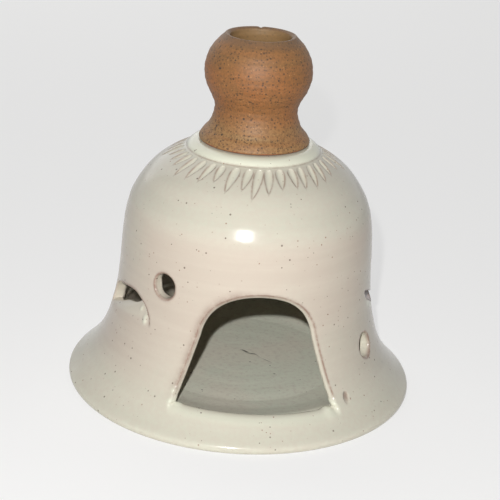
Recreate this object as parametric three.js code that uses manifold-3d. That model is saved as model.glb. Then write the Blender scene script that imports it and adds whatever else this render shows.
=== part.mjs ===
// Studio pottery oil burner, in millimetres, +Z up. A bell-shaped stand, glazed
// white, stands over a tealight, and an unglazed oil vessel lifts off its
// crown. The doorway faces -Y. The origin is on the table under the centre.
// An azimuth is counted from the doorway, positive towards +X.
import * as THREE from 'three';
import { mergeVertices } from 'three/addons/utils/BufferGeometryUtils.js';
import Module from 'manifold-3d';

const wasm = await Module();
wasm.setup();

// Driving dimensions
const BRIM_RADIUS = 85.5;
const LIP_RADIUS = 2.5;
const FOOT_WIDTH = 5;
const WALL = 5.5;
const GAP = 0.3;
const SILL_HEIGHT = 15.6;
const ARCH_TOP = 66.9;
const VESSEL_TOP = 175;

// Crown: the low bead, the flat seat inside it and the flue through the middle
const BEAD = { radius: 6, centre: [26.6, 117.6], from: 24, to: 83 };
const SEAT_HEIGHT = 123.6;
const SEAT_RADIUS = 27;
const FLUE_RADIUS = 15;
const FLUE_LIP = 1.5;

// Steps round each turned piece and along its curved stretches
const BELL_STEPS = 60;
const VESSEL_STEPS = 48;
const BELL_OUTLINE_STEPS = 15;
const VESSEL_OUTLINE_STEPS = 22;
const ARC_STEPS = 5;

// Outside of the bell from the lip's shoulder to the bead's groove: radius, height
const LIP_CENTRE = [BRIM_RADIUS - LIP_RADIUS, LIP_RADIUS];
const LIP_SHOULDER = 45;
const BELL_OUTLINE = [
  onCircle(LIP_CENTRE, LIP_RADIUS, LIP_SHOULDER),
  [79.8, 9],
  [72.6, 18],
  [67.4, 29],
  [63.4, 45],
  [61.8, 60],
  [61, 75],
  [59.6, 87.5],
  [56.4, 97.5],
  [49.9, 107.4],
  [42.5, 114],
  onCircle(BEAD.centre, BEAD.radius, BEAD.from),
];

// Floor dish: its underside outwards from the axis, then its glazed top back
const FLOOR_HEIGHT = 9;
const FLOOR_UNDERSIDE = 4;
const DISH_SECTION = [
  [0, FLOOR_UNDERSIDE],
  [56, FLOOR_UNDERSIDE],
  [66, 6.6],
  [71.3, 9.6],
  [68, 13.8],
  [62, 11.3],
  [56, 9.8],
  [48, FLOOR_HEIGHT],
  [0, FLOOR_HEIGHT],
];

// Oil vessel: the hollow under its foot, its outside from foot to mouth, and
// the bowl back down to the axis
const VESSEL_FOOT = SEAT_HEIGHT + GAP;
const VESSEL_HOLLOW = [
  [0, 137.4],
  [11, 136.6],
  [14.8, 134.2],
  [17.4, 131],
  [20.2, 127.4],
  [21.4, VESSEL_FOOT],
];
const VESSEL_OUTLINE = [
  [25.2, VESSEL_FOOT],
  [26.4, 125.3],
  [24.9, 127.8],
  [22.3, 130.8],
  [20.7, 134.4],
  [19.8, 138],
  [19.9, 141.4],
  [21.5, 145.4],
  [23.8, 149.8],
  [25.3, 155],
  [25.3, 160],
  [23.9, 165.3],
  [21.1, 170],
  [17.3, 174],
];
const VESSEL_BOWL = [
  [16.4, VESSEL_TOP],
  [15.2, VESSEL_TOP],
  [14.4, 173.8],
  [14.7, 170],
  [16.6, 165.5],
  [19.6, 160.8],
  [21, 156],
  [20.8, 152.2],
  [19, 148],
  [15.8, 144.4],
  [10.5, 142],
  [0, 141.2],
];

// Doorway: half its width at the sill, the straight side's top end, the curve's
// pull towards the arch, and how far the cut's sides turn towards the axis
// (0 straight through, 1 radial)
const DOOR = {
  sill: 37.6,
  shoulder: [28, 46],
  pull: [
    [25.5, 60],
    [14, ARCH_TOP],
  ],
  taper: 0.6,
  steps: 8,
};
const WAIST_RADIUS = 63.4;

// Vents and round air holes in the bell's wall. A vent is a half moon tilted by
// some degrees, or a crescent where a flap of clay is left standing in it: rise
// is the curved side's height over the ends, and flap the other side's.
const VENTS = [
  { azimuth: -72, height: 41.4, width: 44, rise: 15, flap: 0, tilt: 9, up: 1 },
  { azimuth: 81.5, height: 61.9, width: 44, rise: 15, flap: 10, tilt: 9, up: -1 },
];
const AIR_HOLES = [
  { azimuth: -44.2, height: 65.4, radius: 6.4 },
  { azimuth: 56.5, height: 33.9, radius: 5.8 },
];
const VENT_STEPS = 12;
const HOLE_STEPS = 20;

// Every cut through the wall runs from inside the bell to past its brim
const CUT_START = 30;
const CUT_END = BRIM_RADIUS + 10;

// Materials from the object: thin white glaze, and bare toasted stoneware
const glaze = new THREE.MeshStandardMaterial({ color: 0xd6ccbf, roughness: 0.25, metalness: 0 });
const glazeInside = new THREE.MeshStandardMaterial({ color: 0xb9b7aa, roughness: 0.35, metalness: 0 });
const stoneware = new THREE.MeshStandardMaterial({ color: 0xa8703f, roughness: 0.85, metalness: 0 });

// Point on a circle, its angle in degrees from the radius direction
function onCircle([radius, height], size, degrees) {
  const angle = THREE.MathUtils.degToRad(degrees);
  return [radius + size * Math.cos(angle), height + size * Math.sin(angle)];
}

function arc(centre, size, from, to) {
  const points = [];
  for (let i = 0; i <= ARC_STEPS; i++) {
    points.push(onCircle(centre, size, from + ((to - from) * i) / ARC_STEPS));
  }
  return points;
}

// Smooth line through points, as evenly spaced [radius, height] pairs
function smooth(points, steps) {
  const curve = new THREE.SplineCurve(points.map(([r, z]) => new THREE.Vector2(r, z)));
  return curve.getSpacedPoints(steps).map((p) => [p.x, p.y]);
}

// The same line moved sideways by a wall's thickness, to the left of its run
function offset(points, thickness) {
  return points.map(([r, z], i) => {
    const before = points[Math.max(i - 1, 0)];
    const after = points[Math.min(i + 1, points.length - 1)];
    const run = new THREE.Vector2(after[0] - before[0], after[1] - before[1]).normalize();
    return [r - run.y * thickness, z + run.x * thickness];
  });
}

// Closed solid turned from a half section of [radius, height] points
function turned(section, steps) {
  const points = section.map(([r, z]) => new THREE.Vector2(r, z));
  return solid(new THREE.LatheGeometry(points, steps).rotateX(Math.PI / 2));
}

function solid(geometry) {
  geometry.deleteAttribute('normal');
  geometry.deleteAttribute('uv');
  const merged = mergeVertices(geometry);
  return new wasm.Manifold(
    new wasm.Mesh({
      numProp: 3,
      vertProperties: Float32Array.from(merged.attributes.position.array),
      triVerts: Uint32Array.from(merged.index.array),
    }),
  );
}

function named(name, manifold, material) {
  const { vertProperties, triVerts } = manifold.getMesh();
  const geometry = new THREE.BufferGeometry();
  geometry.setAttribute('position', new THREE.BufferAttribute(vertProperties, 3));
  geometry.setIndex(new THREE.BufferAttribute(triVerts, 1));
  geometry.computeVertexNormals();
  const mesh = new THREE.Mesh(geometry, material);
  mesh.name = name;
  return mesh;
}

// Cutter with an outline in X (sideways) and Z (up), run outward along -Y past
// the wall from a point inside the bell, then swung round to its azimuth
function wallCutter(shape, azimuth, taper = 0) {
  const depth = CUT_END - CUT_START;
  const geometry = new THREE.ExtrudeGeometry(shape, { depth, bevelEnabled: false, steps: 1 });
  geometry.rotateX(Math.PI / 2).translate(0, -CUT_START, 0);
  const position = geometry.attributes.position;
  for (let i = 0; i < position.count; i++) {
    const spread = 1 - taper + (taper * -position.getY(i)) / WAIST_RADIUS;
    position.setX(i, position.getX(i) * spread);
  }
  return solid(geometry.rotateZ(THREE.MathUtils.degToRad(azimuth)));
}

function doorCutter() {
  const [side, springing] = DOOR.shoulder;
  const [low, high] = DOOR.pull;
  const shape = new THREE.Shape();
  shape.moveTo(-DOOR.sill, SILL_HEIGHT);
  shape.lineTo(DOOR.sill, SILL_HEIGHT);
  shape.lineTo(side, springing);
  shape.bezierCurveTo(...low, ...high, 0, ARCH_TOP);
  shape.bezierCurveTo(-high[0], high[1], -low[0], low[1], -side, springing);
  return wallCutter(new THREE.Shape(shape.getPoints(DOOR.steps)), 0, DOOR.taper);
}

function ventCutter({ azimuth, height, width, rise, flap, tilt, up }) {
  const points = [];
  for (let i = 0; i <= VENT_STEPS; i++) {
    const angle = (Math.PI * i) / VENT_STEPS;
    points.push(new THREE.Vector2((width / 2) * Math.cos(angle), rise * Math.sin(angle)));
  }
  for (let i = VENT_STEPS - 1; flap > 0 && i > 0; i--) {
    const angle = (Math.PI * i) / VENT_STEPS;
    points.push(new THREE.Vector2((width / 2) * Math.cos(angle), flap * Math.sin(angle) ** 2));
  }
  const turn = THREE.MathUtils.degToRad(tilt + (up > 0 ? 0 : 180));
  const middle = new THREE.Vector2();
  for (const point of points) {
    point.rotateAround(middle, turn).y += height;
  }
  return wallCutter(new THREE.Shape(points), azimuth);
}

function airHoleCutter({ azimuth, height, radius }) {
  const shape = new THREE.Shape().absarc(0, height, radius, 0, 2 * Math.PI);
  return wallCutter(new THREE.Shape(shape.getPoints(HOLE_STEPS)), azimuth);
}

// Bell: flat foot under a rolled lip, flared skirt, shoulder, bead and seat,
// and the same wall back down the inside
function bell() {
  const outside = smooth(BELL_OUTLINE, BELL_OUTLINE_STEPS);
  const inside = offset(outside, WALL).reverse();
  const ceiling = inside[0][1];
  const footEdge = [LIP_CENTRE[0] - FOOT_WIDTH, 0];
  const section = [
    footEdge,
    ...arc(LIP_CENTRE, LIP_RADIUS, -90, LIP_SHOULDER).slice(0, -1),
    ...outside.slice(0, -1),
    ...arc(BEAD.centre, BEAD.radius, BEAD.from, BEAD.to),
    [SEAT_RADIUS, SEAT_HEIGHT],
    [FLUE_RADIUS, SEAT_HEIGHT],
    [FLUE_RADIUS, ceiling + FLUE_LIP],
    ...inside,
    footEdge,
  ];
  let body = turned(section, BELL_STEPS).subtract(doorCutter());
  for (const vent of VENTS) {
    body = body.subtract(ventCutter(vent));
  }
  for (const hole of AIR_HOLES) {
    body = body.subtract(airHoleCutter(hole));
  }
  return body;
}

// Shallow dish that closes the bell and carries the tealight
function floorDish() {
  return turned(DISH_SECTION, BELL_STEPS);
}

// Oil vessel: hollow flared foot, waist, and a ball with a small open mouth
function oilVessel() {
  const outside = smooth(VESSEL_OUTLINE, VESSEL_OUTLINE_STEPS);
  return turned([...VESSEL_HOLLOW, ...outside, ...VESSEL_BOWL], VESSEL_STEPS);
}

const burner = new THREE.Group();
burner.add(named('bell_stand', bell(), glaze));
burner.add(named('floor_dish', floorDish(), glazeInside));
burner.add(named('oil_vessel', oilVessel(), stoneware));

export default burner;
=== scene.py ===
import math
import random

import bmesh
import bpy
import numpy as np
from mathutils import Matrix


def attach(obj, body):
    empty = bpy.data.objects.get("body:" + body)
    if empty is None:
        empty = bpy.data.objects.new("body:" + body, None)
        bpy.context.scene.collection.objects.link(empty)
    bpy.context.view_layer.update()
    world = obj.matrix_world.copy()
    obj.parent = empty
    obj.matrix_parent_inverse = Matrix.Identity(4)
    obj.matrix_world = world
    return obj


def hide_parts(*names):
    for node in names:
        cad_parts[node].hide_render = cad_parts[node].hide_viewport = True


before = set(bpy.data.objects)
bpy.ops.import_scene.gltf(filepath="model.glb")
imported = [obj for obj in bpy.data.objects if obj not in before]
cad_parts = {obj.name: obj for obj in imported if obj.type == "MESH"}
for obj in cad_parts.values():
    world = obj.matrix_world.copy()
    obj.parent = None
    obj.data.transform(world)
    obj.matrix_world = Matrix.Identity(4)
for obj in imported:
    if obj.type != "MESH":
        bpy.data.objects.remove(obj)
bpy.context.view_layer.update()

import openvdb
from mathutils import Matrix, Vector

# The oil burner's looks. Shapes are worked out in millimetres in the frame's
# axes, and scaled once when a mesh is made. An azimuth is in degrees from the
# doorway, which faces -Y, and is positive towards +X.

MM = 0.001
ROOT_HALF = math.sqrt(0.5)

# Camera, in millimetres and degrees, set up before the doorway's turn
IMAGE_PIXELS = 500
FOCAL_PIXELS = 1428.77
SENSOR = 36
CAMERA_DISTANCE = 654.6
CAMERA_HEIGHT = 321.7
CAMERA_PITCH = 21.25
CAMERA_YAW = 0.146
CAMERA_ROLL = 3.933
CAMERA_CLIP = (0.05, 50)
DOORWAY_TURN = -7.5

# Floor, world and lamps, in metres and watts. The lamps' places too are given
# before the doorway's turn.
FLOOR_HALF = 4
FLOOR_COLOUR = (0.86, 0.85, 0.83, 1)
FLOOR_GLOW = 0.6
WORLD_LIGHT = 0.10
LAMP_TARGET = (0, 0, 0.08)
KEY_PLACE = (-0.03, -0.65, 0.374)
KEY_SIZE = 0.012
KEY_POWER = 4.65
FILL_PLACE = (-0.35, 1.1, 0.85)
FILL_SIZE = 1.5
FILL_POWER = 5.8

# Bell: rolled lip, outside of the wall as radius and height, the band round the
# seat with its angles in degrees, and the flue
BRIM_RADIUS = 85.4
LIP_RADIUS = 2.5
LIP_SHOULDER = 45
FOOT_WIDTH = 5
WALL = 5.5
SKIRT_TO_SHOULDER = [
    (79.8, 9), (72.6, 18), (67.4, 29), (63.4, 45), (61.8, 60), (61, 75),
    (59.6, 87.5), (56.4, 97.5), (49.9, 107.4), (42.5, 114),
]
BAND_RADIUS = 6
BAND_CENTRE = (26.6, 117.6)
BAND_FROM = 24
BAND_TO = 83
SEAT_HEIGHT = 123.6
SEAT_EDGE = 27
FLUE_RADIUS = 15
CEILING_RISE = 1.5
WAIST_RADIUS = 63.4

# Doorway, whose sill falls a little to the right, and round air holes
# (azimuth, height, radius). Both are cut from this far off the axis outwards.
CUT_START = 20
SILL_HEIGHT = 14.2
SILL_FALL = 0.7
DOOR_TOP = 66.9
SILL_HALF = 37.6
DOOR_SHOULDER = (28, 46)
DOOR_CURVE = ((25.5, 60), (14, DOOR_TOP))
DOOR_TAPER = 0.6
DOOR_BEVEL = 2.0
AIR_HOLES = ((-44.2, 65.4, 5.8), (57.8, 33.0, 5.6))

# Vents, cut as an arch with the clay inside it pressed in. Azimuth and height
# of the left one's cut edge, and of the right one's two edges. The pressed clay
# in the left one ends in a ledge, and a paler strip of glaze under the right one
# ends at a line. Each is straight, and given as height, azimuth and rise per degree.
LEFT_VENT_CREST = [
    (-94.2, 38), (-93.6, 42.5), (-91.5, 46.8), (-88, 50.2), (-84, 52), (-79.1, 53.6), (-70, 55.6),
    (-65, 56.1), (-60.3, 55.4), (-55.1, 52), (-51.9, 47.8), (-50.9, 44.7),
]
LEFT_VENT_BOTTOM = 34
LEFT_LEDGE_OUTSIDE = (44.7, -50.9, 0.16)
LEFT_LEDGE_INSIDE = (51.5, -65.6, 0.42)
RIGHT_VENT_CREST = [
    (62, 57.6), (63.2, 55.7), (66, 53.2), (71, 50.6), (78.5, 47), (88, 46.2), (96, 49.8), (102, 57.5),
]
RIGHT_VENT_FLAP = [
    (102, 59.5), (97, 56.8), (91, 54), (84, 51.6), (78.5, 52), (71, 55), (66, 57.1), (62, 58.2),
]
RIGHT_STRIP_TOP = (54, 66, -0.45)

# Widths over which the edges of the cuts are rounded
DOOR_ROUNDING = 1.5
BEVEL_ROUNDING = 0.8
HOLE_ROUNDING = 1.3
LEFT_CREST_ROUNDING = 1.0
LEFT_LEDGE_ROUNDING = 3.2
LEFT_CORNER_ROUNDING = 0.6
RIGHT_VENT_ROUNDING = 0.7

# Part of the bell's outside, by height, that the petals are on
CROWN_FROM = 104
CROWN_TO = 122

# How deep under the bell's outside its marks end, and how near to the wall the
# cuts are worked out
SKIN_DEPTH = 2.6
WALL_MARGIN = 4

# Petals carved under the crown's band: azimuth, lean of the tip in degrees,
# reach below the band's groove and width in millimetres. The front ones are
# placed singly, and the rest go round the back at the same pace.
PETAL_START = 1.2
PETAL_DEPTH = 0.85
FRONT_PETALS = (
    (-82.1, -6.0, 9.8, 3.0), (-73.9, -4.8, 10.2, 3.1), (-66.6, -3.4, 11.4, 3.2), (-58.1, -2.1, 15.2, 3.3),
    (-47.8, -3.0, 14.3, 3.7), (-38.5, -2.7, 13.7, 3.6), (-30.6, -0.6, 12.0, 3.7), (-19.1, -2.9, 16.5, 4.4),
    (-8.9, -3.8, 14.4, 4.0), (-1.3, -5.2, 19.0, 4.2), (5.4, -2.4, 15.8, 4.1), (14.1, -2.2, 13.4, 4.2),
    (23.8, -1.9, 13.0, 4.0), (32.5, -5.1, 14.2, 3.7), (43.0, -7.2, 14.6, 3.7), (51.7, -6.2, 13.0, 3.4),
    (61.6, -6.2, 11.2, 3.3), (72.7, -4.0, 10.8, 3.2),
)
BACK_PETALS = 22
BACK_SHIFT = (-0.8, 0.8)
BACK_LEAN = (-6, -1.5)
BACK_REACH = (10.6, 16)
BACK_WIDTH = (3.2, 4.3)
PETAL_SEED = 5

# Beads and pools of glaze: azimuth, height, spread and rise
GLAZE_BEADS = (
    (-31.9, 20.3, 1.3, 0.45), (-31.9, 16.3, 1.4, 0.5), (-29.4, 15.6, 2.2, 0.4),
    (30.8, 15.7, 1.4, 0.5), (28.1, 14.0, 2.8, 0.7),
    (-59.5, 48.6, 1.4, 0.7), (-54.4, 46.3, 1.5, 0.75), (-53.8, 44.8, 1.3, 0.6),
)

# Scar in the skirt: azimuth, height, tilt of its long axis and half lengths,
# its depth, and the skirt's radius and length per millimetre of height there
SCAR = (36.9, 16.7, -14, 3.3, 1.7)
SCAR_DEPTH = 0.5
SCAR_RADIUS = 73.5
SKIRT_SLANT = 1.25

# Turning marks: height and depth of a step round the bell, depth of the ripples
# beside it, and pitch and depth of the rings inside the bell, on the vessel and
# on the dish
STEP_HEIGHT = 91.4
STEP_DEPTH = 0.06
RIPPLE_DEPTH = 0.05
BELL_RINGS = (6.5, 0.16)
VESSEL_RINGS = ((3.1, 0.07), (7.3, 0.05))
DISH_RINGS = ((4.6, 0.008), (13, 0.03))

# Oil vessel: hollow under the foot, outside and bowl, and a nick in the mouth's
# far rim (azimuth, half width in degrees, depth)
VESSEL_FOOT = 123.9
VESSEL_TOP = 174.95
VESSEL_HOLLOW = [(0, 137.4), (11, 136.6), (14.8, 134.2), (17.4, 131), (20.2, 127.4), (21.6, 124.6)]
VESSEL_OUTLINE = [
    (22.4, VESSEL_FOOT + 0.1), (24, VESSEL_FOOT), (25.9, VESSEL_FOOT + 0.2),
    (26.4, 125.2), (24.9, 127.8), (22.3, 130.8), (20.7, 134.4), (19.8, 138), (19.9, 141.4),
    (21.5, 145.4), (23.8, 149.8), (25.3, 155), (25.3, 160), (23.9, 165.3), (21.1, 170), (17.3, 174),
]
VESSEL_BOWL = [
    (16.4, VESSEL_TOP - 0.1), (15.3, VESSEL_TOP - 0.3), (14.4, 173.6), (14.7, 170), (16.6, 165.5),
    (19.6, 160.8), (21, 156), (20.8, 152.2), (19, 148), (15.8, 144.4), (10.5, 142), (0, 141.2),
]
NICK = (174, 3.2, 0.55)

# Floor dish: its section from under its middle to the edge of its flat floor,
# the drying crack near its middle as x and y, how wide that is at each point,
# and a pit beside it (x, y, spread)
FLOOR_HEIGHT = 9
FLOOR_RADIUS = 48
DISH_SECTION = [
    (0, 4), (30, 4), (56, 4), (66, 6.6), (70.2, 9.2), (71.1, 10.3), (71, 11.6), (70.2, 12.5), (68.4, 12.5),
    (66, 11.9), (62, 11), (56, 9.8), (FLOOR_RADIUS, FLOOR_HEIGHT),
]
CRACK = [(1.2, 8.9), (3.1, 7.2), (5.4, 4.3), (8.3, 3.2), (10.5, -0.2), (13.2, -3.7), (16.3, -7.0)]
CRACK_WIDTH = (0.15, 0.7, 0.85, 0.3, 0.12, 0.3, 0.06)
CRACK_DEPTH = 0.12
PIT = (15.5, -19, 0.9)

# Meshes: step of the bell's grid, which is halved this near to a cut and
# quartered between two heights on the crown, steps round the vessel and the
# dish, and the step across the dish's floor
BELL_GRID = 1.0
CUT_MARGIN = 2.2
FINE_CROWN = (108, 121)
VESSEL_TURNS = 256
DISH_TURNS = 320
DISH_STEP = 0.5

# Colours of the bell's glaze, in linear red, green and blue
GLAZE_THIN = (0.57, 0.495, 0.412)
GLAZE_THICK = (0.56, 0.56, 0.458)
GLAZE_SKIRT = (0.60, 0.595, 0.485)
GLAZE_LIP = (0.67, 0.66, 0.545)
GLAZE_STREAK = (0.67, 0.61, 0.51)
GLAZE_MOTTLE = (0.57, 0.475, 0.40)
# Pooled glaze; on the crown's band it also stands for painted sheen
GLAZE_POOL_AND_SHEEN = (0.76, 0.765, 0.62)
# Iron on thin edges; also used as painted shade on the left jamb and in the right vent
GLAZE_RUST_AND_SHADE = (0.20, 0.095, 0.065)
GLAZE_FRECKLE = (0.28, 0.15, 0.10)
GLAZE_SPECK = (0.10, 0.062, 0.045)
# Painted shade on the chamber's inside walls
GLAZE_PAINTED_SHADE = (0.17, 0.14, 0.115)

# Colours of the dish's glaze
DISH_WARM = (0.79, 0.755, 0.63)
DISH_COOL = (0.76, 0.78, 0.645)
DISH_RING = (0.50, 0.47, 0.40)
DISH_MOTTLE = (0.54, 0.46, 0.39)
DISH_SPECK = (0.12, 0.10, 0.075)
DISH_CRACK = (0.09, 0.075, 0.06)

# Colours of the bare stoneware
CLAY_RED = (0.29, 0.10, 0.023)
CLAY_BROWN = (0.245, 0.105, 0.029)
CLAY_SHOULDER = (0.215, 0.115, 0.038)
CLAY_FOOT = (0.315, 0.195, 0.08)
CLAY_FOOT_EDGE = (0.27, 0.065, 0.038)
CLAY_MOUTH = (0.13, 0.08, 0.045)
CLAY_INSIDE = (0.33, 0.21, 0.095)
CLAY_STREAK = (0.35, 0.14, 0.045)
CLAY_GRAIN = (0.15, 0.07, 0.024)
CLAY_PALE = (0.46, 0.23, 0.09)
CLAY_SMALL_SPECK = (0.06, 0.03, 0.014)
CLAY_FINE_SPECK = (0.07, 0.036, 0.015)
CLAY_LARGE_SPECK = (0.025, 0.014, 0.009)


def smoothstep(low, high, x):
    t = np.clip((x - low) / (high - low), 0, 1)
    return t * t * (3 - 2 * t)


def hump(x):
    return np.exp(-np.square(x))


def smooth_max(a, b, width):
    """The larger of a and b, rounded where they cross over that width."""
    h = np.clip(0.5 + 0.5 * (a - b) / width, 0, 1)
    return b + (a - b) * h + width * h * (1 - h)


def on_circle(centre, radius, degrees):
    angle = math.radians(degrees)
    return (centre[0] + radius * math.cos(angle), centre[1] + radius * math.sin(angle))


def arc(centre, radius, start, end, steps=16):
    return [on_circle(centre, radius, start + (end - start) * i / steps) for i in range(steps + 1)]


def smooth_line(points, steps=12):
    """Curve through points, with that many steps from each to the next."""
    points = np.array([points[0], *points, points[-1]], float)
    line = []
    for i in range(1, len(points) - 2):
        p0, p1, p2, p3 = points[i - 1:i + 3]
        for t in np.arange(steps) / steps:
            line.append(
                0.5 * (2 * p1 + (p2 - p0) * t + (2 * p0 - 5 * p1 + 4 * p2 - p3) * t * t
                       + (3 * p1 - p0 - 3 * p2 + p3) * t ** 3)
            )
    return np.array([*line, points[-1]])


def beside(line, distance):
    """The line moved sideways by a distance, to the left of its run."""
    run = np.gradient(line, axis=0)
    run /= np.linalg.norm(run, axis=1, keepdims=True)
    return line + distance * np.stack([-run[:, 1], run[:, 0]], 1)


def bezier(a, b, c, d, steps=24):
    t = np.linspace(0, 1, steps + 1)[:, None]
    a, b, c, d = (np.array(p, float) for p in (a, b, c, d))
    return (1 - t) ** 3 * a + 3 * t * (1 - t) ** 2 * b + 3 * t * t * (1 - t) * c + t ** 3 * d


def turned_by(azimuth, reference):
    """Difference of azimuths, from -180 to 180."""
    return (azimuth - reference + 180) % 360 - 180


def azimuth_of(x, y):
    return np.degrees(np.arctan2(x, -y))


def round_waist(azimuth):
    """Millimetres round the waist to an azimuth."""
    return np.radians(azimuth) * WAIST_RADIUS


def unrolled(line):
    """Azimuth and height as millimetres round the waist and up."""
    return [(round_waist(azimuth), height) for azimuth, height in line]


def line_height(azimuth, height, place, rise):
    """Height of a straight line round the wall, from its height at one place."""
    return height + rise * (azimuth - place)


def ripple(place, pitch, depth, turn):
    """Rings along a turned surface, joined into a spiral by the turn."""
    return depth * np.sin(2 * np.pi * place / pitch + turn)


def outline_distance(points, x, y):
    """Signed distance to a closed outline, negative inside."""
    nearest = np.full(x.shape, np.inf)
    inside = np.zeros(x.shape, bool)
    for (ax, ay), (bx, by) in zip(points, np.roll(points, -1, axis=0)):
        ex, ey = bx - ax, by - ay
        if ex * ex + ey * ey < 1e-12:
            continue
        t = np.clip(((x - ax) * ex + (y - ay) * ey) / (ex * ex + ey * ey), 0, 1)
        nearest = np.minimum(nearest, (x - ax - t * ex) ** 2 + (y - ay - t * ey) ** 2)
        if ay != by:
            inside ^= ((ay > y) != (by > y)) & (x < ax + (y - ay) * ex / ey)
    return np.where(inside, -1, 1) * np.sqrt(nearest)


class Outline:
    """Signed distance to a closed outline, worked out once on a fine grid and
    read between its points by a cubic B-spline, which softens sharp corners."""

    def __init__(self, points, margin=8, step=0.5):
        points = np.array(points, float)
        self.low = points.min(0) - margin
        self.step = step
        self.size = np.ceil((points.max(0) + margin - self.low) / step).astype(int) + 1
        x, y = (self.low[k] + step * np.arange(self.size[k]) for k in (0, 1))
        self.table = outline_distance(points, *np.meshgrid(x, y, indexing="ij"))

    def __call__(self, x, y):
        i, f = self.cell(x, 0)
        j, g = self.cell(y, 1)
        total = 0
        for k, wx in enumerate(self.weights(f)):
            for m, wy in enumerate(self.weights(g)):
                total = total + wx * wy * self.table[i + k - 1, j + m - 1]
        return total

    def cell(self, value, axis):
        place = np.clip((value - self.low[axis]) / self.step, 1, self.size[axis] - 3)
        index = np.floor(place).astype(int)
        return index, place - index

    @staticmethod
    def weights(f):
        return (
            (1 - f) ** 3 / 6,
            (3 * f ** 3 - 6 * f ** 2 + 4) / 6,
            (-3 * f ** 3 + 3 * f ** 2 + 3 * f + 1) / 6,
            f ** 3 / 6,
        )


def bell_outside():
    """The wall's outside from the lip's shoulder to the band's groove."""
    lip = (BRIM_RADIUS - LIP_RADIUS, LIP_RADIUS)
    return smooth_line([
        on_circle(lip, LIP_RADIUS, LIP_SHOULDER),
        *SKIRT_TO_SHOULDER,
        on_circle(BAND_CENTRE, BAND_RADIUS, BAND_FROM),
    ])


def bell_sections():
    """Closed half sections as radius and height: of the bell's wall, and of
    the same shape filled in to past the axis."""
    lip = (BRIM_RADIUS - LIP_RADIUS, LIP_RADIUS)
    outside = bell_outside()
    inside = beside(outside, WALL)[::-1]
    skin = [
        (lip[0] - FOOT_WIDTH, 0),
        *arc(lip, LIP_RADIUS, -90, LIP_SHOULDER),
        *outside[1:-1],
        *arc(BAND_CENTRE, BAND_RADIUS, BAND_FROM, BAND_TO),
        (SEAT_EDGE, SEAT_HEIGHT),
    ]
    wall = [
        *skin,
        (FLUE_RADIUS, SEAT_HEIGHT),
        (FLUE_RADIUS, inside[0][1] + CEILING_RISE),
        *inside,
    ]
    return wall, [*skin, (-8, SEAT_HEIGHT), (-8, 0)]


def door_outline():
    right = bezier(DOOR_SHOULDER, *DOOR_CURVE, (0, DOOR_TOP))
    left = [(-x, z) for x, z in right[::-1]]
    sill = [(-SILL_HALF, SILL_HEIGHT + SILL_FALL), (SILL_HALF, SILL_HEIGHT - SILL_FALL)]
    return [*sill, *right, *left[1:]]


def all_petals():
    """The petals seen from the front, then the others round the back."""
    draw = random.Random(PETAL_SEED)
    petals = list(FRONT_PETALS)
    first, last = FRONT_PETALS[0][0] + 360, FRONT_PETALS[-1][0]
    pace = (first - last) / (BACK_PETALS + 1)
    for i in range(BACK_PETALS):
        azimuth = last + pace * (i + 1) + draw.uniform(*BACK_SHIFT)
        shape = [draw.uniform(*limits) for limits in (BACK_LEAN, BACK_REACH, BACK_WIDTH)]
        petals.append((azimuth, *shape))
    return petals


def crown_points(z, skin):
    """Indices of the points that petals may be carved in."""
    return np.flatnonzero((z > CROWN_FROM) & (z < CROWN_TO) & (skin > -SKIN_DEPTH))


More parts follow.
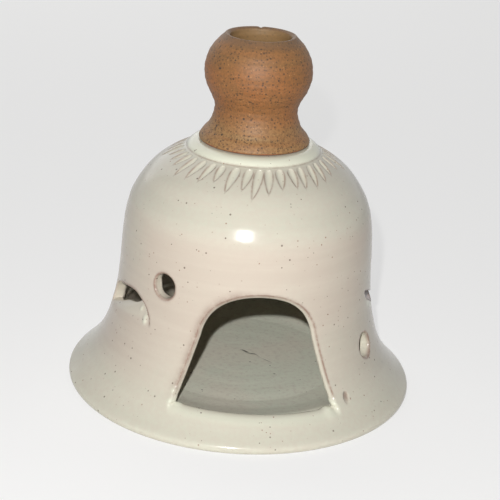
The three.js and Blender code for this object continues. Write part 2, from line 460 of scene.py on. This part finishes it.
class Bell:
    """Signed distance to the bell's surface, and the small marks on it."""

    def __init__(self):
        wall, skin = bell_sections()
        self.wall = Outline(wall)
        self.skin = Outline(skin)
        self.door = Outline(door_outline())
        crest = smooth_line(unrolled(LEFT_VENT_CREST), 6)
        corners = [(crest[-1][0], LEFT_VENT_BOTTOM), (crest[0][0], LEFT_VENT_BOTTOM)]
        self.left_vent = Outline([*crest, *corners])
        crest, flap = (smooth_line(unrolled(line), 6) for line in (RIGHT_VENT_CREST, RIGHT_VENT_FLAP))
        self.right_vent = Outline([*crest, *flap])
        outside = bell_outside()[::-1]
        crown = outside[outside[:, 1] > CROWN_FROM]
        self.crown_radius = crown[:, 0]
        steps = np.hypot(*np.diff(crown, axis=0).T)
        self.crown_reach = np.concatenate([[0], np.cumsum(steps)])
        self.petals = all_petals()

    def door_cut(self, x, y, z):
        """Distance to the doorway's cut, negative inside it."""
        spread = 1 - DOOR_TAPER + DOOR_TAPER * np.maximum(-y, 1) / WAIST_RADIUS
        return np.maximum(self.door(x / spread, z), y + CUT_START)

    def hole_cut(self, x, y, z, azimuth, height, size):
        """Distance to an air hole's cut, negative inside it."""
        angle = math.radians(azimuth)
        across = x * math.cos(angle) + y * math.sin(angle)
        along = x * math.sin(angle) - y * math.cos(angle)
        return np.maximum(np.hypot(across, z - height) - size, CUT_START - along)

    def left_vent_cut(self, azimuth, z, depth):
        """Distances to the vent's cut edge and to the ledge pressed in under it."""
        crest = self.left_vent(round_waist(azimuth), z)
        outer = line_height(azimuth, *LEFT_LEDGE_OUTSIDE)
        inner = line_height(azimuth, *LEFT_LEDGE_INSIDE)
        share = np.clip(depth / WALL, -0.2, 1.3)
        return crest, outer + (inner - outer) * share - z

    def __call__(self, x, y, z):
        d = self.wall(np.hypot(x, y), z)
        near = d < WALL_MARGIN
        d[near] = self.with_openings(d[near], x[near], y[near], z[near])
        return d

    def with_openings(self, body, x, y, z):
        azimuth = azimuth_of(x, y)
        depth = -self.skin(np.hypot(x, y), z)
        door = self.door_cut(x, y, z)
        d = smooth_max(body, -door, DOOR_ROUNDING)
        d = smooth_max(d, (body - door + DOOR_BEVEL) * ROOT_HALF, BEVEL_ROUNDING)
        for hole in AIR_HOLES:
            d = smooth_max(d, -self.hole_cut(x, y, z, *hole), HOLE_ROUNDING)
        crest, ledge = self.left_vent_cut(azimuth, z, depth)
        on_ledge = smoothstep(-2, 2, ledge - crest)
        width = LEFT_CREST_ROUNDING + (LEFT_LEDGE_ROUNDING - LEFT_CREST_ROUNDING) * on_ledge
        d = smooth_max(d, -smooth_max(crest, ledge, LEFT_CORNER_ROUNDING), width)
        return smooth_max(d, -self.right_vent(round_waist(azimuth), z), RIGHT_VENT_ROUNDING)

    def petal_marks(self, radius, azimuth):
        """Depth of the petals, and distance across from their nearest long edge."""
        reach = np.interp(radius, self.crown_radius, self.crown_reach)
        depth = np.zeros_like(radius)
        edge = np.full_like(radius, np.inf)
        for top, lean, length, width in self.petals:
            t = (reach - PETAL_START) / (length - PETAL_START)
            across = np.radians(turned_by(azimuth, top + lean * t)) * radius
            here = np.flatnonzero((np.abs(across) < width) & (t > -0.05) & (t < 1.05))
            t = np.clip(t[here], 0, 1)
            # Widest near the top, blunt there and drawn out to a point below
            share = 2.07 * t ** 0.35 * (1 - t) ** 0.85
            half = 0.5 * width * share + 0.02
            part = np.abs(across[here]) / half
            depth[here] = np.maximum(depth[here], PETAL_DEPTH * share * np.clip(1 - part * part, 0, 1))
            # Counted further off at both ends, where the edges' lines fade
            fade = 0.5 * smoothstep(0.25, 0, t) + 0.3 * smoothstep(0.9, 1, t)
            edge[here] = np.minimum(edge[here], np.abs(np.abs(across[here]) - half) + fade)
        return depth, edge

    def beads(self, radius, azimuth, z):
        """How near each bead's middle is, from 0 to 1, with its rise."""
        for place, height, spread, rise in GLAZE_BEADS:
            across = np.radians(turned_by(azimuth, place)) * radius
            yield hump(np.hypot(across, z - height) / spread), rise

    def scar(self, azimuth, z):
        """Shape of the scar, 1 in its middle and 0 past its rim."""
        place, height, tilt, long, short = SCAR
        across = np.radians(turned_by(azimuth, place)) * SCAR_RADIUS
        up = (z - height) * SKIRT_SLANT
        angle = math.radians(tilt)
        u = up * math.cos(angle) - across * math.sin(angle)
        v = up * math.sin(angle) + across * math.cos(angle)
        return smoothstep(1.15, 0.6, np.hypot(u / long, v / short))

    def marks(self, x, y, z):
        """How deep the small marks are cut, less where glaze or clay stands out."""
        radius = np.hypot(x, y)
        azimuth = azimuth_of(x, y)
        turn = np.radians(azimuth)
        skin = self.skin(radius, z)
        cut = np.zeros_like(x)
        crown = crown_points(z, skin)
        cut[crown] = self.petal_marks(radius[crown], azimuth[crown])[0]
        cut += SCAR_DEPTH * self.scar(azimuth, z)
        side = smoothstep(5, 12, z) * smoothstep(116, 100, z)
        cut += side * RIPPLE_DEPTH * np.sin(z * 0.9 + turn) * np.sin(z * 0.23 + 2)
        cut += side * STEP_DEPTH * smoothstep(STEP_HEIGHT + 0.7, STEP_HEIGHT - 0.7, z)
        outer = smoothstep(-SKIN_DEPTH, -1.2, skin)
        inner = (1 - outer) * smoothstep(14, 18, z) * smoothstep(-3.6, -4.6, skin)
        cut = cut * outer + inner * ripple(z, *BELL_RINGS, turn)
        in_wall = smoothstep(-5.2, -4, skin)
        for near, rise in self.beads(radius, azimuth, z):
            cut -= rise * near * in_wall
        return cut

    def finished(self, x, y, z):
        return self(x, y, z) + self.marks(x, y, z)

    def rust_and_shade(self, x, y, z, azimuth, skin):
        """How far iron shows on the outer edges of the cuts, where glaze is thin, with a broad band of
        painted shade on the doorway's left jamb.
        """
        door = self.door_cut(x, y, z) - DOOR_BEVEL
        # Painted shade: a broad dark band on the left jamb's bevel only, which faces away from the key
        # lamp, laid in the iron colour
        jamb = 0.5 * hump(door / 2.4) * smoothstep(5, -15, x)
        iron_and_shade = np.maximum(0.9 * hump(door / 0.55), jamb) * smoothstep(16.5, 21, z)
        for hole in AIR_HOLES:
            rim = self.hole_cut(x, y, z, *hole) - 0.6
            iron_and_shade = np.maximum(iron_and_shade, 0.9 * hump(rim / 0.6))
        crest, ledge = self.left_vent_cut(azimuth, z, -skin)
        facing = smoothstep(-84, -76, azimuth) * smoothstep(2.5, 0, ledge)
        iron_and_shade = np.maximum(iron_and_shade, hump((crest - 0.6) / 0.8) * facing)
        right = self.right_vent(round_waist(azimuth), z)
        return np.maximum(iron_and_shade, hump((right - 0.2) / 0.45))

    def tints(self, x, y, z):
        """Per point and from 0 to 1, how far iron shows through thin glaze, how
        far glaze has pooled, and how far inside the chamber it is, where the glaze
        is darkened as painted shade. Iron goes past 1 on the right vent's cut
        faces, which are painted shade as well as iron. The pooled colour on the
        band is partly painted sheen."""
        radius = np.hypot(x, y)
        azimuth = azimuth_of(x, y)
        skin = self.skin(radius, z)
        outer = smoothstep(-2.2, -0.8, skin)
        right = self.right_vent(round_waist(azimuth), z)
        iron_and_shade = self.rust_and_shade(x, y, z, azimuth, skin) * outer
        # Painted shade as well as iron: the right vent's cut faces are made darker than the iron on its
        # edges
        iron_and_shade = np.maximum(iron_and_shade, 1.5 * smoothstep(0.9, 0.3, right))

        # The cuts' faces, and the strip under the right vent
        white = np.maximum(1 - iron_and_shade, 0)
        faces = smoothstep(1.6, 0.4, self.openings(x, y, z)) * smoothstep(-0.6, -1.6, skin)
        strip = smoothstep(0.5, -0.5, z - line_height(azimuth, *RIGHT_STRIP_TOP))
        strip *= smoothstep(62, 68, azimuth) * smoothstep(6, 2, right)
        pool_and_sheen = np.maximum(0.3 * faces, 0.9 * strip) * white

        # The petals and the groove over them, and the band
        crown = crown_points(z, skin)
        depth, edge = self.petal_marks(radius[crown], azimuth[crown])
        groove = on_circle(BAND_CENTRE, BAND_RADIUS, BAND_FROM)
        gap = np.hypot(radius[crown] - groove[0], z[crown] - groove[1])
        lines = np.maximum(0.68 * hump(edge / 0.42), 0.6 * hump(gap / 0.5))
        iron_and_shade[crown] = np.maximum(iron_and_shade[crown], lines)
        pool_and_sheen[crown] = 0.45 * np.clip(depth / PETAL_DEPTH, 0, 1)
        # The band above the groove takes the pale pooled colour, partly pooled glaze and partly painted
        # sheen
        pool_and_sheen = np.maximum(pool_and_sheen, smoothstep(119, 121, z) * outer)

        # The scar, the glaze beads and the sill
        iron_and_shade = np.maximum(iron_and_shade, 0.75 * self.scar(azimuth, z) * outer)
        in_wall = smoothstep(-5.2, -4, skin)
        for near, _ in self.beads(radius, azimuth, z):
            pool_and_sheen = np.maximum(pool_and_sheen, near * in_wall)
            iron_and_shade *= 1 - 0.7 * near
        sill = hump((z - SILL_HEIGHT + 1.5) / 3) * smoothstep(4.5, 0.5, self.door_cut(x, y, z))
        pool_and_sheen = np.maximum(pool_and_sheen, 0.8 * sill * outer)
        # Inside the chamber, where the glaze is darkened as painted shade
        inside = smoothstep(-4.2, -5.2, skin) * smoothstep(12, 15, z)
        return iron_and_shade, pool_and_sheen, inside

    def openings(self, x, y, z):
        """Distance to the nearest cut through the wall."""
        azimuth = azimuth_of(x, y)
        crest, ledge = self.left_vent_cut(azimuth, z, -self.skin(np.hypot(x, y), z))
        return np.minimum.reduce([
            np.abs(self.door_cut(x, y, z) - 1),
            np.maximum(crest, ledge - 2),
            self.right_vent(round_waist(azimuth), z),
            *(self.hole_cut(x, y, z, *hole) for hole in AIR_HOLES),
        ])


def slope(distance, points, reach=0.05):
    """Distance at points and its gradient, by central differences."""
    x, y, z = points.T
    gradient = np.stack([
        distance(x + reach, y, z) - distance(x - reach, y, z),
        distance(x, y + reach, z) - distance(x, y - reach, z),
        distance(x, y, z + reach) - distance(x, y, z - reach),
    ], 1) / (2 * reach)
    return distance(x, y, z), gradient


def onto_surface(distance, points, rounds):
    """Points moved along the gradient to where the distance is zero."""
    for _ in range(rounds):
        d, gradient = slope(distance, points)
        length = np.maximum((gradient ** 2).sum(1), 0.05)
        points = points - gradient * np.clip(d / length, -1, 1)[:, None]
    return points


def evened(distance, points, edges, rounds=3, pull=0.6):
    """Points drawn towards the middle of their neighbours along the surface."""
    a, b = edges.T
    count = np.bincount(edges.ravel(), minlength=len(points))[:, None]
    for _ in range(rounds):
        total = np.zeros_like(points)
        for k in range(3):
            total[:, k] = (np.bincount(a, points[b, k], len(points))
                           + np.bincount(b, points[a, k], len(points)))
        points = onto_surface(distance, (1 - pull) * points + pull * total / count, 1)
    return onto_surface(distance, points, 1)


def mesh_points(mesh):
    points = np.empty(len(mesh.vertices) * 3)
    mesh.vertices.foreach_get("co", points)
    return points.reshape(-1, 3)


def mesh_edges(mesh):
    edges = np.empty(len(mesh.edges) * 2, int)
    mesh.edges.foreach_get("vertices", edges)
    return edges.reshape(-1, 2)


def surface_mesh(name, distance, low, high, step):
    """Mesh of the surface where distance is zero, from a grid of that step."""
    axes = [np.arange(low[k], high[k] + step, step) for k in range(3)]
    x, y, z = np.meshgrid(*axes, indexing="ij")
    band = 3 * step
    grid = openvdb.FloatGrid(band)
    grid.copyFromArray(np.clip(distance(x, y, z), -band, band).astype(np.float32))
    points, quads = grid.convertToQuads()
    mesh = bpy.data.meshes.new(name)
    mesh.from_pydata((points.astype(float) * step + np.array(low)).tolist(), [], quads.tolist())
    mesh.update()
    points = evened(distance, mesh_points(mesh), mesh_edges(mesh))
    mesh.vertices.foreach_set("co", points.astype(np.float32).ravel())
    return mesh


def refine(mesh, chosen, cuts):
    """Splits each edge whose two points are chosen."""
    picked = np.flatnonzero(chosen[mesh_edges(mesh)].all(1))
    work = bmesh.new()
    work.from_mesh(mesh)
    work.edges.ensure_lookup_table()
    edges = [work.edges[i] for i in picked]
    bmesh.ops.subdivide_edges(work, edges=edges, cuts=cuts, use_grid_fill=True)
    work.to_mesh(mesh)
    work.free()


def set_attribute(mesh, name, values):
    attribute = mesh.attributes.new(name, "FLOAT", "POINT")
    attribute.data.foreach_set("value", values.astype(np.float32))


def new_object(name, mesh):
    mesh.polygons.foreach_set("use_smooth", np.ones(len(mesh.polygons), bool))
    mesh.update()
    piece = bpy.data.objects.new(name, mesh)
    bpy.context.collection.objects.link(piece)
    return piece


def make_bell():
    bell = Bell()
    reach = BRIM_RADIUS + 2
    low, high = (-reach, -reach, -2), (reach, reach, SEAT_HEIGHT + 3)
    mesh = surface_mesh("bell", bell, low, high, BELL_GRID)

    x, y, z = mesh_points(mesh).T
    refine(mesh, bell.openings(x, y, z) < CUT_MARGIN, 1)
    x, y, z = mesh_points(mesh).T
    skin = bell.skin(np.hypot(x, y), z)
    refine(mesh, (z > FINE_CROWN[0]) & (z < FINE_CROWN[1]) & (skin > -1), 3)

    points = onto_surface(bell.finished, mesh_points(mesh), 3)
    points[:, 2] = np.maximum(points[:, 2], 0)
    normals = slope(bell.finished, points)[1]
    normals /= np.linalg.norm(normals, axis=1, keepdims=True)
    for name, values in zip(("iron_and_shade", "pool_and_sheen", "inside"), bell.tints(*points.T)):
        set_attribute(mesh, name, values)
    mesh.vertices.foreach_set("co", (points * MM).astype(np.float32).ravel())
    piece = new_object("bell", mesh)
    mesh.normals_split_custom_set_from_vertices(normals.astype(np.float32))
    return piece


def turned_mesh(name, section, turns, shape):
    """Lathe mesh of a section that runs from the axis to the axis. Shape takes
    radius, azimuth and height of all its points and gives them back changed."""
    section = np.array(section, float)
    azimuth = np.arange(turns) * 360 / turns
    radius = np.tile(section[1:-1, 0], (turns, 1))
    height = np.tile(section[1:-1, 1], (turns, 1))
    azimuth = np.repeat(azimuth[:, None], len(section) - 2, 1)
    radius, height = shape(radius, azimuth, height)
    angle = np.radians(azimuth)
    points = np.stack([radius * np.sin(angle), -radius * np.cos(angle), height], -1).reshape(-1, 3)
    points = np.vstack([points, (0, 0, section[0, 1]), (0, 0, section[-1, 1])])
    first, last = len(points) - 2, len(points) - 1
    rows = len(section) - 2
    faces = []
    for i in range(turns):
        here, there = i * rows, (i + 1) % turns * rows
        faces.append((first, there, here))
        faces.append((last, here + rows - 1, there + rows - 1))
        for j in range(rows - 1):
            faces.append((here + j, there + j, there + j + 1, here + j + 1))
    mesh = bpy.data.meshes.new(name)
    mesh.from_pydata((points * MM).tolist(), [], faces)
    return mesh


def vessel_shape(radius, azimuth, height):
    """Turning marks, a slight wobble and the nick in the mouth's far rim."""
    turn = np.radians(azimuth)
    side = smoothstep(126, 128, height) * smoothstep(174, 172, height)
    fine, wide = VESSEL_RINGS
    radius = radius + side * (ripple(height, *fine, turn) + ripple(height, *wide, 1 - turn))
    place, width, depth = NICK
    rim = smoothstep(VESSEL_TOP - 1.6, VESSEL_TOP - 0.4, height)
    return radius, height - depth * rim * hump(turned_by(azimuth, place) / width)


def make_vessel():
    section = smooth_line([*VESSEL_HOLLOW, *VESSEL_OUTLINE, *VESSEL_BOWL], 6)
    mesh = turned_mesh("vessel", section, VESSEL_TURNS, vessel_shape)
    x, y, z = mesh_points(mesh).T / MM
    set_attribute(mesh, "inside", smoothstep(17, 16, np.hypot(x, y)) * smoothstep(174.6, 173.4, z))
    return new_object("vessel", mesh)


def crack_share(x, y):
    """How open the drying crack or the pit is, from 0 to 1."""
    share = 0.6 * hump(np.hypot(x - PIT[0], y - PIT[1]) / PIT[2])
    line = smooth_line(CRACK, 4)
    widths = np.interp(np.linspace(0, 1, len(line)), np.linspace(0, 1, len(CRACK)), CRACK_WIDTH)
    for (ax, ay), (bx, by), width in zip(line, line[1:], widths):
        ex, ey = bx - ax, by - ay
        t = np.clip(((x - ax) * ex + (y - ay) * ey) / (ex * ex + ey * ey), 0, 1)
        gap = np.hypot(x - ax - t * ex, y - ay - t * ey)
        share = np.maximum(share, hump(gap / (0.4 + 0.5 * width)) * width ** 0.5)
    return share


def dish_shape(radius, azimuth, height):
    """Throwing rings and the drying crack on the upper face."""
    top = smoothstep(8, 8.6, height) * smoothstep(68, 66, radius)
    turn = np.radians(azimuth)
    fine, wide = DISH_RINGS
    rings = ripple(radius, *fine, turn) + ripple(radius, *wide, 1 - turn)
    crack = crack_share(radius * np.sin(turn), -radius * np.cos(turn))
    return radius, height + top * (rings * smoothstep(0, 6, radius) - CRACK_DEPTH * crack)


def make_dish():
    outside = smooth_line(DISH_SECTION, 8)
    radii = DISH_STEP * np.arange(FLOOR_RADIUS / DISH_STEP - 1, 0, -1)
    floor = [(radius, FLOOR_HEIGHT) for radius in radii]
    mesh = turned_mesh("dish", [*outside, *floor, (0, FLOOR_HEIGHT)], DISH_TURNS, dish_shape)
    x, y, z = mesh_points(mesh).T / MM
    set_attribute(mesh, "crack", crack_share(x, y) * (z > 7.5))
    return new_object("dish", mesh)


class Finish:
    """A material being made: each call adds a node and gives its output back."""

    def __init__(self, name, roughness):
        self.material = bpy.data.materials.new(name)
        self.material.use_nodes = True
        self.nodes = self.material.node_tree.nodes
        self.links = self.material.node_tree.links
        self.shader = self.nodes["Principled BSDF"]
        self.shader.inputs["Roughness"].default_value = roughness
        self.place = self.nodes.new("ShaderNodeTexCoord").outputs["Object"]

    def node(self, kind, inputs, output=0, **settings):
        node = self.nodes.new("ShaderNode" + kind)
        for key, value in settings.items():
            setattr(node, key, value)
        for key, value in inputs.items():
            self.feed(node.inputs[key], value)
        return node.outputs[output]

    def feed(self, socket, value):
        if isinstance(value, bpy.types.NodeSocket):
            self.links.new(value, socket)
        else:
            socket.default_value = value

    def math(self, operation, a, b):
        return self.node("Math", {0: a, 1: b}, operation=operation)

    def times(self, a, b):
        return self.math("MULTIPLY", a, b)

    def ramp(self, value, low, high, start=0.0, end=1.0):
        limits = {"Value": value, "From Min": low, "From Max": high, "To Min": start, "To Max": end}
        return self.node("MapRange", limits, interpolation_type="SMOOTHSTEP")

    def mix(self, factor, a, b):
        a, b = (c if isinstance(c, bpy.types.NodeSocket) else (*c, 1) for c in (a, b))
        return self.node("Mix", {0: factor, 6: a, 7: b}, 2, data_type="RGBA")

    def height(self):
        """Height in millimetres, a little uneven."""
        level = self.times(self.node("SeparateXYZ", {0: self.place}, 2), 1 / MM)
        return self.math("ADD", level, self.times(self.noise(120, 2), 1.8))

    def stretched(self, x, y, z):
        return self.node("Mapping", {"Vector": self.place, "Scale": (x, y, z)})

    def shifted(self, x, y, z):
        return self.node("Mapping", {"Vector": self.place, "Location": (x, y, z)})

    def noise(self, scale, detail=2.0, roughness=0.5, place=None):
        inputs = {"Vector": place or self.place, "Scale": scale, "Detail": detail, "Roughness": roughness}
        return self.node("TexNoise", inputs)

    def attribute(self, name):
        return self.node("Attribute", {}, "Fac", attribute_name=name)

    def specks(self, scale, size, share, place=None):
        """Round spots in that share of the cells, 1 in their middle. Size is
        the largest radius as a part of a cell."""
        cells = self.nodes.new("ShaderNodeTexVoronoi")
        cells.inputs["Scale"].default_value = scale
        self.links.new(place or self.place, cells.inputs["Vector"])
        parts = self.nodes.new("ShaderNodeSeparateColor")
        self.links.new(cells.outputs["Color"], parts.inputs[0])
        wide = self.ramp(parts.outputs[1], 0, 1, 0.4 * size, size)
        gap = self.math("DIVIDE", cells.outputs["Distance"], wide)
        spot = self.ramp(gap, 0.55, 1.0, 1, 0)
        return self.times(spot, self.math("LESS_THAN", parts.outputs[0], share))

    def colour(self, socket):
        self.links.new(socket, self.shader.inputs["Base Color"])

    def bump(self, height, depth):
        """Bump of that depth in millimetres for a height from 0 to 1."""
        normal = self.node("Bump", {"Height": height, "Distance": depth * MM, "Strength": 1.0})
        self.links.new(normal, self.shader.inputs["Normal"])


def glaze_finish():
    f = Finish("white_glaze", 0.19)
    f.shader.inputs["Specular IOR Level"].default_value = 0.35

    # Thicker over the step and in clouds, and on the skirt and the lip
    height = f.height()
    thick = f.ramp(height, 87, 98, 0, 0.75)
    cloud = f.times(f.ramp(f.noise(14, 3, 0.55), 0.42, 0.66), 0.45)
    colour = f.mix(f.math("MAXIMUM", thick, cloud), GLAZE_THIN, GLAZE_THICK)
    colour = f.mix(f.ramp(height, 30, 12, 0, 0.8), colour, GLAZE_SKIRT)
    colour = f.mix(f.ramp(height, 7, 3, 0, 0.8), colour, GLAZE_LIP)
    streak = f.ramp(f.noise(1, 3, 0.6, f.stretched(9, 9, 170)), 0.35, 0.7)
    colour = f.mix(f.times(streak, 0.3), colour, GLAZE_STREAK)
    mottle = f.ramp(f.noise(420, 2, 0.6), 0.3, 0.7)
    colour = f.mix(f.times(mottle, 0.25), colour, GLAZE_MOTTLE)
    # Pooled glaze, and on the band partly painted sheen
    colour = f.mix(f.times(f.attribute("pool_and_sheen"), 0.9), colour, GLAZE_POOL_AND_SHEEN)

    # Iron: on thin edges, and in freckles and specks. The edge colour also carries painted shade on the
    # left jamb and in the right vent's cut faces.
    rust_and_shade = f.times(f.attribute("iron_and_shade"), f.ramp(f.noise(230, 3, 0.7), 0.3, 0.6, 0.45, 1))
    colour = f.mix(f.times(rust_and_shade, 0.9), colour, GLAZE_RUST_AND_SHADE)
    freckle = f.times(f.specks(520, 0.26, 0.24), f.ramp(f.noise(45, 2), 0.4, 0.6, 0.25, 0.8))
    colour = f.mix(freckle, colour, GLAZE_FRECKLE)
    colour = f.mix(f.times(f.specks(260, 0.16, 0.6), 0.75), colour, GLAZE_SPECK)
    # Painted shade on the chamber's inside walls
    colour = f.mix(f.times(f.attribute("inside"), 0.6), colour, GLAZE_PAINTED_SHADE)
    f.colour(colour)
    f.bump(f.noise(260, 2, 0.5), 0.03)
    return f.material


def inner_finish():
    f = Finish("inner_glaze", 0.38)

    # Rings round the axis, a little uneven
    flat = f.node("VectorMath", {0: f.place, 1: (1, 1, 0)}, operation="MULTIPLY")
    radius = f.node("VectorMath", {0: flat}, "Value", operation="LENGTH")
    drift = f.times(f.noise(30, 2), 0.004)
    outwards = f.times(f.math("ADD", radius, drift), 330)
    ring = f.noise(1, 4, 0.6, f.node("CombineXYZ", {0: outwards}))

    cloud = f.ramp(f.noise(24, 3, 0.6), 0.35, 0.65)
    colour = f.mix(cloud, DISH_WARM, DISH_COOL)
    colour = f.mix(f.ramp(ring, 0.35, 0.7, 0, 0.08), colour, DISH_RING)
    colour = f.mix(f.ramp(f.noise(450, 2, 0.6), 0.45, 0.75, 0, 0.35), colour, DISH_MOTTLE)
    colour = f.mix(f.times(f.specks(220, 0.13, 0.45), 0.8), colour, DISH_SPECK)
    uneven = f.ramp(f.noise(380, 2), 0.35, 0.6, 0.3, 0.9)
    crack = f.times(f.ramp(f.attribute("crack"), 0.2, 0.7), uneven)
    colour = f.mix(crack, colour, DISH_CRACK)
    f.colour(colour)
    f.bump(f.math("ADD", f.times(ring, 0.15), f.times(f.noise(300, 2), 0.4)), 0.04)
    return f.material


def stoneware_finish():
    f = Finish("bare_stoneware", 0.58)

    # Clouds, duller on the shoulder and paler on the foot
    height = f.height()
    cloud = f.ramp(f.noise(35, 3, 0.6), 0.35, 0.65)
    colour = f.mix(cloud, CLAY_RED, CLAY_BROWN)
    colour = f.mix(f.ramp(height, 160, 171, 0, 0.75), colour, CLAY_SHOULDER)
    colour = f.mix(f.ramp(height, 142, 130, 0, 0.8), colour, CLAY_FOOT)

    # Streaks of the turning, grain and specks of several sizes
    streak = f.ramp(f.noise(1, 3, 0.65, f.stretched(30, 30, 420)), 0.35, 0.7, 0, 0.45)
    colour = f.mix(streak, colour, CLAY_STREAK)
    grain = f.ramp(f.noise(800, 3, 0.75), 0.42, 0.6, 0, 0.55)
    colour = f.mix(grain, colour, CLAY_GRAIN)
    pale = f.specks(900, 0.36, 0.3, f.shifted(3, 1, 2))
    colour = f.mix(f.times(pale, 0.6), colour, CLAY_PALE)
    small = f.specks(640, 0.42, 0.6)
    colour = f.mix(f.times(small, 0.85), colour, CLAY_SMALL_SPECK)
    fine = f.specks(900, 0.5, 0.5, f.shifted(2, 2, 5))
    colour = f.mix(f.times(fine, 0.8), colour, CLAY_FINE_SPECK)
    large = f.specks(340, 0.25, 0.5, f.shifted(1, 5, 2))
    colour = f.mix(f.times(large, 0.95), colour, CLAY_LARGE_SPECK)

    # The flashed edge of the foot, the dark mouth and the pale bowl
    colour = f.mix(f.ramp(height, 125.0, 125.9, 0.8, 0), colour, CLAY_FOOT_EDGE)
    colour = f.mix(f.ramp(height, 171.5, 174.5, 0, 0.55), colour, CLAY_MOUTH)
    colour = f.mix(f.times(f.attribute("inside"), 0.65), colour, CLAY_INSIDE)
    f.colour(colour)
    rough = f.math("ADD", f.times(f.noise(700, 3, 0.7), 0.6), f.times(small, -0.25))
    f.bump(rough, 0.2)
    return f.material


def make_camera():
    pitch, yaw, roll = (math.radians(v) for v in (CAMERA_PITCH, CAMERA_YAW, CAMERA_ROLL))
    ahead = Vector((math.sin(yaw) * math.cos(pitch), math.cos(yaw) * math.cos(pitch), -math.sin(pitch)))
    level = Vector((math.cos(yaw), -math.sin(yaw), 0))
    above = level.cross(ahead)
    right = level * math.cos(roll) + above * math.sin(roll)
    up = above * math.cos(roll) - level * math.sin(roll)
    place = Matrix.Translation(Vector((0, -CAMERA_DISTANCE, CAMERA_HEIGHT)) * MM)
    place = place @ Matrix([right, up, -ahead]).transposed().to_4x4()
    data = bpy.data.cameras.new("camera")
    data.sensor_width = SENSOR
    data.lens = FOCAL_PIXELS * SENSOR / IMAGE_PIXELS
    data.clip_start, data.clip_end = CAMERA_CLIP
    camera = bpy.data.objects.new("camera", data)
    bpy.context.collection.objects.link(camera)
    camera.matrix_world = Matrix.Rotation(math.radians(DOORWAY_TURN), 4, "Z") @ place
    bpy.context.scene.camera = camera


def area_lamp(name, place, size, power):
    """Lamp aimed at the burner's middle, its place given before the doorway's turn."""
    data = bpy.data.lights.new(name, "AREA")
    data.size = size
    data.energy = power
    lamp = bpy.data.objects.new(name, data)
    bpy.context.collection.objects.link(lamp)
    lamp.location = Matrix.Rotation(math.radians(DOORWAY_TURN), 3, "Z") @ Vector(place)
    lamp.rotation_euler = (Vector(LAMP_TARGET) - lamp.location).to_track_quat("-Z", "Y").to_euler()


def seen_directly(nodes, links):
    """1 for what the camera or a reflection sees, 0 for what lights the part."""
    path = nodes.new("ShaderNodeLightPath")
    seen = nodes.new("ShaderNodeMath")
    seen.operation = "MAXIMUM"
    links.new(path.outputs["Is Camera Ray"], seen.inputs[0])
    links.new(path.outputs["Is Glossy Ray"], seen.inputs[1])
    return seen.outputs[0]


def make_floor():
    corners = [(FLOOR_HALF * a, FLOOR_HALF * b, 0) for a, b in ((-1, -1), (1, -1), (1, 1), (-1, 1))]
    mesh = bpy.data.meshes.new("floor")
    mesh.from_pydata(corners, [], [(0, 1, 2, 3)])
    floor = bpy.data.objects.new("floor", mesh)
    bpy.context.collection.objects.link(floor)
    material = bpy.data.materials.new("floor")
    material.use_nodes = True
    nodes, links = material.node_tree.nodes, material.node_tree.links
    shader = nodes["Principled BSDF"]
    shader.inputs["Base Color"].default_value = FLOOR_COLOUR
    shader.inputs["Roughness"].default_value = 0.9
    glow = nodes.new("ShaderNodeEmission")
    share = nodes.new("ShaderNodeMath")
    share.operation = "MULTIPLY"
    share.inputs[1].default_value = FLOOR_GLOW
    links.new(seen_directly(nodes, links), share.inputs[0])
    both = nodes.new("ShaderNodeMixShader")
    links.new(share.outputs[0], both.inputs[0])
    links.new(shader.outputs[0], both.inputs[1])
    links.new(glow.outputs[0], both.inputs[2])
    links.new(both.outputs[0], nodes["Material Output"].inputs["Surface"])
    mesh.materials.append(material)


def make_world():
    world = bpy.data.worlds.new("world")
    bpy.context.scene.world = world
    world.use_nodes = True
    nodes, links = world.node_tree.nodes, world.node_tree.links
    background = nodes["Background"]
    background.inputs["Color"].default_value = (1, 1, 1, 1)
    strength = nodes.new("ShaderNodeMapRange")
    strength.inputs["To Min"].default_value = WORLD_LIGHT
    strength.inputs["To Max"].default_value = 1.0
    links.new(seen_directly(nodes, links), strength.inputs["Value"])
    links.new(strength.outputs[0], background.inputs["Strength"])


make_camera()
make_floor()
make_world()
area_lamp("key", KEY_PLACE, KEY_SIZE, KEY_POWER)
area_lamp("fill", FILL_PLACE, FILL_SIZE, FILL_POWER)

for piece, finish, body, node, slot in (
    (make_bell(), glaze_finish(), "stand", "bell_stand", "white_glaze"),
    (make_dish(), inner_finish(), "stand", "floor_dish", "inner_glaze"),
    (make_vessel(), stoneware_finish(), "vessel", "oil_vessel", "bare_stoneware"),
):
    piece.data.materials.append(finish)
    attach(piece, body)
    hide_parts(node)

bpy.context.scene.view_settings.view_transform = "Standard"
